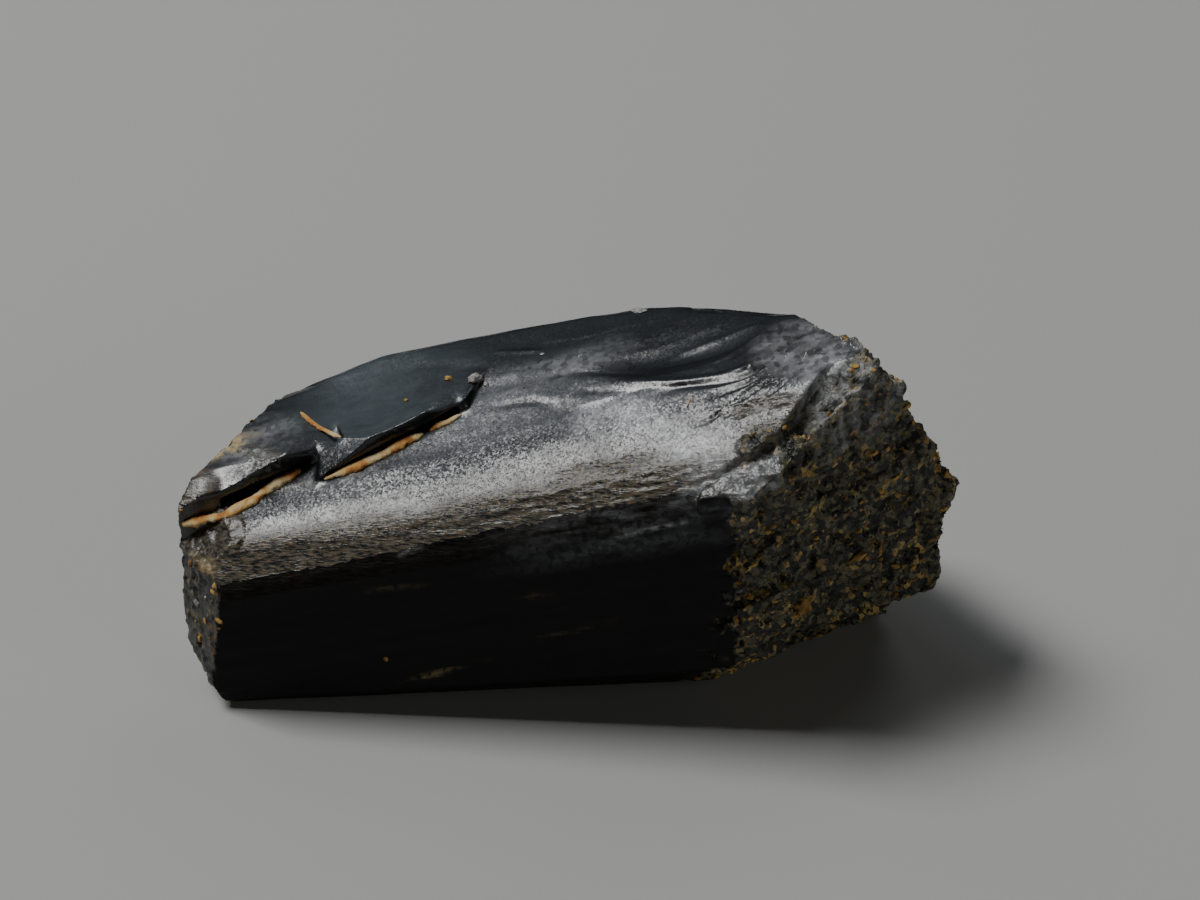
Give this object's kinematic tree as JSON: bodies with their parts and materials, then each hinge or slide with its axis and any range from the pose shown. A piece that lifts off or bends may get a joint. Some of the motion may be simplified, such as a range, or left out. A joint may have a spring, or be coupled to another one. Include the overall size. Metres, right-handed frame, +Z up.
{
  "type": "columbite crystal",
  "caption": "Loose black columbite crystal: a stout wedge-shaped prism with flat faces, a broken growth plate on top and a rough broken end.",
  "frame": {"origin": "middle of the bounding box, at the bottom, on the surface that the crystal rests on", "axes": "+X along the crystal from its thin end to its broken end, +Y from the front prism face to the back, +Z up"},
  "size_m": [0.0236, 0.0088, 0.0117],
  "materials": {
    "columbite": "submetallic black columbite, satin crystal faces, rough broken end stained with limonite"
  },
  "bodies": {
    "root": {"columbite_crystal": "columbite"}
  },
  "joints": []
}
